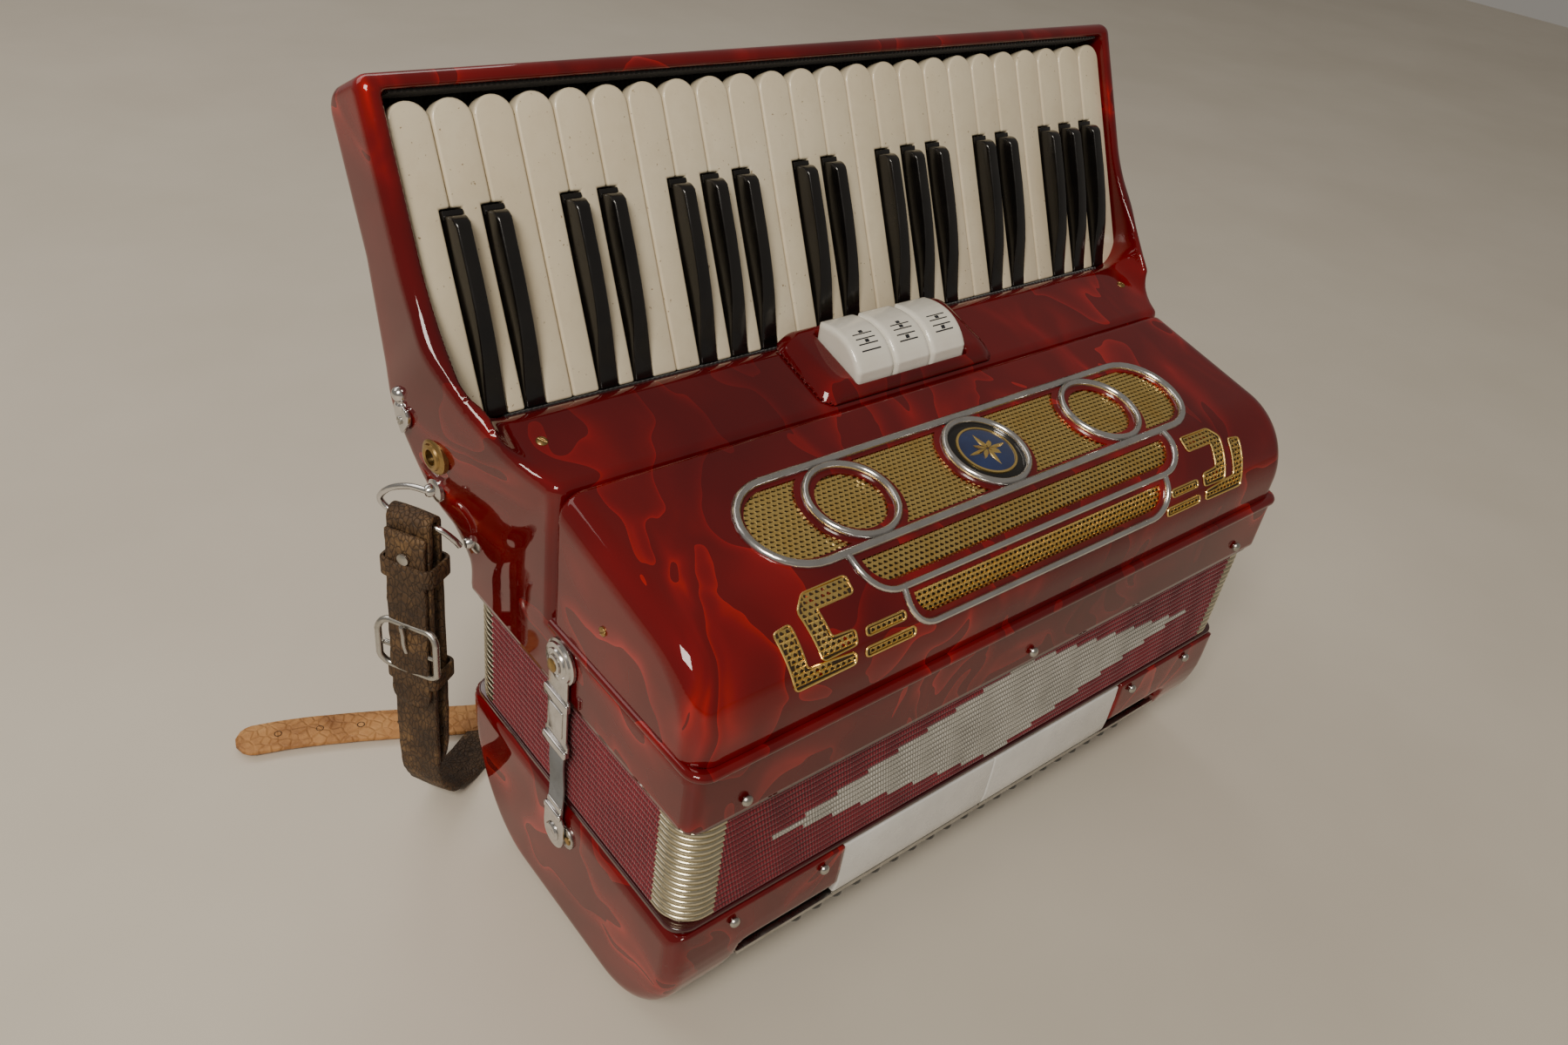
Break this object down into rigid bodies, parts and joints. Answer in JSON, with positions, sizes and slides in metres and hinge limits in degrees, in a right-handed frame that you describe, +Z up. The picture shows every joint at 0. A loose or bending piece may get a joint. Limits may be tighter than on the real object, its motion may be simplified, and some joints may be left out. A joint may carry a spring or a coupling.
{
  "type": "piano accordion",
  "caption": "Piano accordion with a tilted keyboard, red marbled cases, closed bellows, register switches, bass buttons and a loose leather shoulder strap, standing on its bass end.",
  "frame": {"origin": "on the ground, under the middle of the bass case, between its two feet", "axes": "+X along the keyboard towards the low notes, +Y towards the player's side, +Z up, from the bass end to the keyboard end"},
  "size_m": [0.5731, 0.3228, 0.417],
  "materials": {
    "red_celluloid": "glossy marbled red and wine pearloid celluloid",
    "key_cream": "aged ivory-coloured celluloid, satin tops",
    "key_black": "glossy black",
    "white_plastic": "glossy off-white",
    "black_plastic": "glossy near-black",
    "steel": "plated, worn",
    "chrome": "bright plated wire",
    "reed_wood": "plain planed",
    "wine_cloth": "dark red bellows cloth over folded card",
    "leather": "old, cracked, dark brown"
  },
  "bodies": {
    "bass": {"bass_case": "red_celluloid", "bass_strap": "leather", "bellows": "wine_cloth"},
    "treble": {"treble_case": "red_celluloid", "grille_cover": "red_celluloid", "register_housing": "red_celluloid", "key_axle": "steel", "treble_reed_block": "reed_wood"},
    "strap": {"strap_ring": "chrome", "shoulder_strap": "leather"},
    "bellows_strap_left": {"bellows_strap_left": "steel"},
    "bellows_strap_right": {"bellows_strap_right": "steel"},
    "register_switch_1": {"register_switch_1": "white_plastic"},
    "register_switch_2": {"register_switch_2": "white_plastic"},
    "register_switch_3": {"register_switch_3": "white_plastic"},
    "bass_buttons": {"bass_buttons": "black_plastic"},
    "air_button": {"air_button": "black_plastic"},
    "bass_register_bar_left": {"bass_register_bar_left": "white_plastic"},
    "bass_register_bar_right": {"bass_register_bar_right": "white_plastic"},
    "key_A6": {"key_A6": "key_cream"},
    "key_Gs6": {"key_Gs6": "key_black"},
    "key_G6": {"key_G6": "key_cream"},
    "key_Fs6": {"key_Fs6": "key_black"},
    "key_F6": {"key_F6": "key_cream"},
    "key_E6": {"key_E6": "key_cream"},
    "key_Ds6": {"key_Ds6": "key_black"},
    "key_D6": {"key_D6": "key_cream"},
    "key_Cs6": {"key_Cs6": "key_black"},
    "key_C6": {"key_C6": "key_cream"},
    "key_B5": {"key_B5": "key_cream"},
    "key_As5": {"key_As5": "key_black"},
    "key_A5": {"key_A5": "key_cream"},
    "key_Gs5": {"key_Gs5": "key_black"},
    "key_G5": {"key_G5": "key_cream"},
    "key_Fs5": {"key_Fs5": "key_black"},
    "key_F5": {"key_F5": "key_cream"},
    "key_E5": {"key_E5": "key_cream"},
    "key_Ds5": {"key_Ds5": "key_black"},
    "key_D5": {"key_D5": "key_cream"},
    "key_Cs5": {"key_Cs5": "key_black"},
    "key_C5": {"key_C5": "key_cream"},
    "key_B4": {"key_B4": "key_cream"},
    "key_As4": {"key_As4": "key_black"},
    "key_A4": {"key_A4": "key_cream"},
    "key_Gs4": {"key_Gs4": "key_black"},
    "key_G4": {"key_G4": "key_cream"},
    "key_Fs4": {"key_Fs4": "key_black"},
    "key_F4": {"key_F4": "key_cream"},
    "key_E4": {"key_E4": "key_cream"},
    "key_Ds4": {"key_Ds4": "key_black"},
    "key_D4": {"key_D4": "key_cream"},
    "key_Cs4": {"key_Cs4": "key_black"},
    "key_C4": {"key_C4": "key_cream"},
    "key_B3": {"key_B3": "key_cream"},
    "key_As3": {"key_As3": "key_black"},
    "key_A3": {"key_A3": "key_cream"},
    "key_Gs3": {"key_Gs3": "key_black"},
    "key_G3": {"key_G3": "key_cream"},
    "key_Fs3": {"key_Fs3": "key_black"},
    "key_F3": {"key_F3": "key_cream"}
  },
  "joints": [
    {"name": "bellows_slide", "type": "slide", "parent": "bass", "child": "treble", "axis": [0, 0, 1], "range_m": [0, 0.3], "deforming": ["bellows"]},
    {"name": "register_switch_1_rock", "type": "hinge", "parent": "treble", "child": "register_switch_1", "pos_m": [-0.027, 0.054, 0.28], "axis": [1, 0, 0], "range_deg": [0, 7], "stiffness_Nm_per_rad": 0.1, "springref_deg": -14.32},
    {"name": "register_switch_2_rock", "type": "hinge", "parent": "treble", "child": "register_switch_2", "pos_m": [0, 0.054, 0.28], "axis": [1, 0, 0], "range_deg": [0, 7], "stiffness_Nm_per_rad": 0.1, "springref_deg": -14.32},
    {"name": "register_switch_3_rock", "type": "hinge", "parent": "treble", "child": "register_switch_3", "pos_m": [0.027, 0.054, 0.28], "axis": [1, 0, 0], "range_deg": [0, 7], "stiffness_Nm_per_rad": 0.1, "springref_deg": -14.32},
    {"name": "bass_register_bar_left_press", "type": "hinge", "parent": "bass", "child": "bass_register_bar_left", "pos_m": [-0.0558, -0.0965, 0.087], "axis": [1, 0, 0], "range_deg": [0, 3], "stiffness_Nm_per_rad": 0.1, "springref_deg": -11.46},
    {"name": "bass_register_bar_right_press", "type": "hinge", "parent": "bass", "child": "bass_register_bar_right", "pos_m": [0.0588, -0.0965, 0.087], "axis": [1, 0, 0], "range_deg": [0, 3], "stiffness_Nm_per_rad": 0.1, "springref_deg": -11.46},
    {"name": "bass_buttons_press", "type": "slide", "parent": "bass", "child": "bass_buttons", "axis": [0, 0.4167, 0.909], "range_m": [0, 0.003], "stiffness_N_per_m": 800, "springref_m": -0.003},
    {"name": "air_button_press", "type": "slide", "parent": "bass", "child": "air_button", "axis": [0, 0, 1], "range_m": [0, 0.004], "stiffness_N_per_m": 500, "springref_m": -0.004},
    {"name": "bellows_strap_left_swing", "type": "hinge", "parent": "treble", "child": "bellows_strap_left", "pos_m": [-0.2225, 0.002, 0.186], "axis": [-1, 0, 0], "range_deg": [0, 120]},
    {"name": "bellows_strap_right_swing", "type": "hinge", "parent": "treble", "child": "bellows_strap_right", "pos_m": [0.2225, 0.002, 0.186], "axis": [-1, 0, 0], "range_deg": [0, 120]},
    {"name": "shoulder_strap_swing", "type": "hinge", "parent": "treble", "child": "strap", "pos_m": [-0.2365, 0.0935, 0.215], "axis": [0, 0, 1], "range_deg": [-5, 12]},
    {"name": "key_A6_press", "type": "hinge", "parent": "treble", "child": "key_A6", "pos_m": [-0.2277, 0.06292, 0.25625], "axis": [-1, 0, 0], "range_deg": [0, 1.8], "stiffness_Nm_per_rad": 0.3, "springref_deg": -17.19},
    {"name": "key_Gs6_press", "type": "hinge", "parent": "treble", "child": "key_Gs6", "pos_m": [-0.2178, 0.06292, 0.25625], "axis": [-1, 0, 0], "range_deg": [0, 1.8], "stiffness_Nm_per_rad": 0.3, "springref_deg": -17.19},
    {"name": "key_G6_press", "type": "hinge", "parent": "treble", "child": "key_G6", "pos_m": [-0.2079, 0.06292, 0.25625], "axis": [-1, 0, 0], "range_deg": [0, 1.8], "stiffness_Nm_per_rad": 0.3, "springref_deg": -17.19},
    {"name": "key_Fs6_press", "type": "hinge", "parent": "treble", "child": "key_Fs6", "pos_m": [-0.198, 0.06292, 0.25625], "axis": [-1, 0, 0], "range_deg": [0, 1.8], "stiffness_Nm_per_rad": 0.3, "springref_deg": -17.19},
    {"name": "key_F6_press", "type": "hinge", "parent": "treble", "child": "key_F6", "pos_m": [-0.1881, 0.06292, 0.25625], "axis": [-1, 0, 0], "range_deg": [0, 1.8], "stiffness_Nm_per_rad": 0.3, "springref_deg": -17.19},
    {"name": "key_E6_press", "type": "hinge", "parent": "treble", "child": "key_E6", "pos_m": [-0.1683, 0.06292, 0.25625], "axis": [-1, 0, 0], "range_deg": [0, 1.8], "stiffness_Nm_per_rad": 0.3, "springref_deg": -17.19},
    {"name": "key_Ds6_press", "type": "hinge", "parent": "treble", "child": "key_Ds6", "pos_m": [-0.1584, 0.06292, 0.25625], "axis": [-1, 0, 0], "range_deg": [0, 1.8], "stiffness_Nm_per_rad": 0.3, "springref_deg": -17.19},
    {"name": "key_D6_press", "type": "hinge", "parent": "treble", "child": "key_D6", "pos_m": [-0.1485, 0.06292, 0.25625], "axis": [-1, 0, 0], "range_deg": [0, 1.8], "stiffness_Nm_per_rad": 0.3, "springref_deg": -17.19},
    {"name": "key_Cs6_press", "type": "hinge", "parent": "treble", "child": "key_Cs6", "pos_m": [-0.1386, 0.06292, 0.25625], "axis": [-1, 0, 0], "range_deg": [0, 1.8], "stiffness_Nm_per_rad": 0.3, "springref_deg": -17.19},
    {"name": "key_C6_press", "type": "hinge", "parent": "treble", "child": "key_C6", "pos_m": [-0.1287, 0.06292, 0.25625], "axis": [-1, 0, 0], "range_deg": [0, 1.8], "stiffness_Nm_per_rad": 0.3, "springref_deg": -17.19},
    {"name": "key_B5_press", "type": "hinge", "parent": "treble", "child": "key_B5", "pos_m": [-0.1089, 0.06292, 0.25625], "axis": [-1, 0, 0], "range_deg": [0, 1.8], "stiffness_Nm_per_rad": 0.3, "springref_deg": -17.19},
    {"name": "key_As5_press", "type": "hinge", "parent": "treble", "child": "key_As5", "pos_m": [-0.099, 0.06292, 0.25625], "axis": [-1, 0, 0], "range_deg": [0, 1.8], "stiffness_Nm_per_rad": 0.3, "springref_deg": -17.19},
    {"name": "key_A5_press", "type": "hinge", "parent": "treble", "child": "key_A5", "pos_m": [-0.0891, 0.06292, 0.25625], "axis": [-1, 0, 0], "range_deg": [0, 1.8], "stiffness_Nm_per_rad": 0.3, "springref_deg": -17.19},
    {"name": "key_Gs5_press", "type": "hinge", "parent": "treble", "child": "key_Gs5", "pos_m": [-0.0792, 0.06292, 0.25625], "axis": [-1, 0, 0], "range_deg": [0, 1.8], "stiffness_Nm_per_rad": 0.3, "springref_deg": -17.19},
    {"name": "key_G5_press", "type": "hinge", "parent": "treble", "child": "key_G5", "pos_m": [-0.0693, 0.06292, 0.25625], "axis": [-1, 0, 0], "range_deg": [0, 1.8], "stiffness_Nm_per_rad": 0.3, "springref_deg": -17.19},
    {"name": "key_Fs5_press", "type": "hinge", "parent": "treble", "child": "key_Fs5", "pos_m": [-0.0594, 0.06292, 0.25625], "axis": [-1, 0, 0], "range_deg": [0, 1.8], "stiffness_Nm_per_rad": 0.3, "springref_deg": -17.19},
    {"name": "key_F5_press", "type": "hinge", "parent": "treble", "child": "key_F5", "pos_m": [-0.0495, 0.06292, 0.25625], "axis": [-1, 0, 0], "range_deg": [0, 1.8], "stiffness_Nm_per_rad": 0.3, "springref_deg": -17.19},
    {"name": "key_E5_press", "type": "hinge", "parent": "treble", "child": "key_E5", "pos_m": [-0.0297, 0.06292, 0.25625], "axis": [-1, 0, 0], "range_deg": [0, 1.8], "stiffness_Nm_per_rad": 0.3, "springref_deg": -17.19},
    {"name": "key_Ds5_press", "type": "hinge", "parent": "treble", "child": "key_Ds5", "pos_m": [-0.0198, 0.06292, 0.25625], "axis": [-1, 0, 0], "range_deg": [0, 1.8], "stiffness_Nm_per_rad": 0.3, "springref_deg": -17.19},
    {"name": "key_D5_press", "type": "hinge", "parent": "treble", "child": "key_D5", "pos_m": [-0.0099, 0.06292, 0.25625], "axis": [-1, 0, 0], "range_deg": [0, 1.8], "stiffness_Nm_per_rad": 0.3, "springref_deg": -17.19},
    {"name": "key_Cs5_press", "type": "hinge", "parent": "treble", "child": "key_Cs5", "pos_m": [0, 0.06292, 0.25625], "axis": [-1, 0, 0], "range_deg": [0, 1.8], "stiffness_Nm_per_rad": 0.3, "springref_deg": -17.19},
    {"name": "key_C5_press", "type": "hinge", "parent": "treble", "child": "key_C5", "pos_m": [0.0099, 0.06292, 0.25625], "axis": [-1, 0, 0], "range_deg": [0, 1.8], "stiffness_Nm_per_rad": 0.3, "springref_deg": -17.19},
    {"name": "key_B4_press", "type": "hinge", "parent": "treble", "child": "key_B4", "pos_m": [0.0297, 0.06292, 0.25625], "axis": [-1, 0, 0], "range_deg": [0, 1.8], "stiffness_Nm_per_rad": 0.3, "springref_deg": -17.19},
    {"name": "key_As4_press", "type": "hinge", "parent": "treble", "child": "key_As4", "pos_m": [0.0396, 0.06292, 0.25625], "axis": [-1, 0, 0], "range_deg": [0, 1.8], "stiffness_Nm_per_rad": 0.3, "springref_deg": -17.19},
    {"name": "key_A4_press", "type": "hinge", "parent": "treble", "child": "key_A4", "pos_m": [0.0495, 0.06292, 0.25625], "axis": [-1, 0, 0], "range_deg": [0, 1.8], "stiffness_Nm_per_rad": 0.3, "springref_deg": -17.19},
    {"name": "key_Gs4_press", "type": "hinge", "parent": "treble", "child": "key_Gs4", "pos_m": [0.0594, 0.06292, 0.25625], "axis": [-1, 0, 0], "range_deg": [0, 1.8], "stiffness_Nm_per_rad": 0.3, "springref_deg": -17.19},
    {"name": "key_G4_press", "type": "hinge", "parent": "treble", "child": "key_G4", "pos_m": [0.0693, 0.06292, 0.25625], "axis": [-1, 0, 0], "range_deg": [0, 1.8], "stiffness_Nm_per_rad": 0.3, "springref_deg": -17.19},
    {"name": "key_Fs4_press", "type": "hinge", "parent": "treble", "child": "key_Fs4", "pos_m": [0.0792, 0.06292, 0.25625], "axis": [-1, 0, 0], "range_deg": [0, 1.8], "stiffness_Nm_per_rad": 0.3, "springref_deg": -17.19},
    {"name": "key_F4_press", "type": "hinge", "parent": "treble", "child": "key_F4", "pos_m": [0.0891, 0.06292, 0.25625], "axis": [-1, 0, 0], "range_deg": [0, 1.8], "stiffness_Nm_per_rad": 0.3, "springref_deg": -17.19},
    {"name": "key_E4_press", "type": "hinge", "parent": "treble", "child": "key_E4", "pos_m": [0.1089, 0.06292, 0.25625], "axis": [-1, 0, 0], "range_deg": [0, 1.8], "stiffness_Nm_per_rad": 0.3, "springref_deg": -17.19},
    {"name": "key_Ds4_press", "type": "hinge", "parent": "treble", "child": "key_Ds4", "pos_m": [0.1188, 0.06292, 0.25625], "axis": [-1, 0, 0], "range_deg": [0, 1.8], "stiffness_Nm_per_rad": 0.3, "springref_deg": -17.19},
    {"name": "key_D4_press", "type": "hinge", "parent": "treble", "child": "key_D4", "pos_m": [0.1287, 0.06292, 0.25625], "axis": [-1, 0, 0], "range_deg": [0, 1.8], "stiffness_Nm_per_rad": 0.3, "springref_deg": -17.19},
    {"name": "key_Cs4_press", "type": "hinge", "parent": "treble", "child": "key_Cs4", "pos_m": [0.1386, 0.06292, 0.25625], "axis": [-1, 0, 0], "range_deg": [0, 1.8], "stiffness_Nm_per_rad": 0.3, "springref_deg": -17.19},
    {"name": "key_C4_press", "type": "hinge", "parent": "treble", "child": "key_C4", "pos_m": [0.1485, 0.06292, 0.25625], "axis": [-1, 0, 0], "range_deg": [0, 1.8], "stiffness_Nm_per_rad": 0.3, "springref_deg": -17.19},
    {"name": "key_B3_press", "type": "hinge", "parent": "treble", "child": "key_B3", "pos_m": [0.1683, 0.06292, 0.25625], "axis": [-1, 0, 0], "range_deg": [0, 1.8], "stiffness_Nm_per_rad": 0.3, "springref_deg": -17.19},
    {"name": "key_As3_press", "type": "hinge", "parent": "treble", "child": "key_As3", "pos_m": [0.1782, 0.06292, 0.25625], "axis": [-1, 0, 0], "range_deg": [0, 1.8], "stiffness_Nm_per_rad": 0.3, "springref_deg": -17.19},
    {"name": "key_A3_press", "type": "hinge", "parent": "treble", "child": "key_A3", "pos_m": [0.1881, 0.06292, 0.25625], "axis": [-1, 0, 0], "range_deg": [0, 1.8], "stiffness_Nm_per_rad": 0.3, "springref_deg": -17.19},
    {"name": "key_Gs3_press", "type": "hinge", "parent": "treble", "child": "key_Gs3", "pos_m": [0.198, 0.06292, 0.25625], "axis": [-1, 0, 0], "range_deg": [0, 1.8], "stiffness_Nm_per_rad": 0.3, "springref_deg": -17.19},
    {"name": "key_G3_press", "type": "hinge", "parent": "treble", "child": "key_G3", "pos_m": [0.2079, 0.06292, 0.25625], "axis": [-1, 0, 0], "range_deg": [0, 1.8], "stiffness_Nm_per_rad": 0.3, "springref_deg": -17.19},
    {"name": "key_Fs3_press", "type": "hinge", "parent": "treble", "child": "key_Fs3", "pos_m": [0.2178, 0.06292, 0.25625], "axis": [-1, 0, 0], "range_deg": [0, 1.8], "stiffness_Nm_per_rad": 0.3, "springref_deg": -17.19},
    {"name": "key_F3_press", "type": "hinge", "parent": "treble", "child": "key_F3", "pos_m": [0.2277, 0.06292, 0.25625], "axis": [-1, 0, 0], "range_deg": [0, 1.8], "stiffness_Nm_per_rad": 0.3, "springref_deg": -17.19}
  ]
}
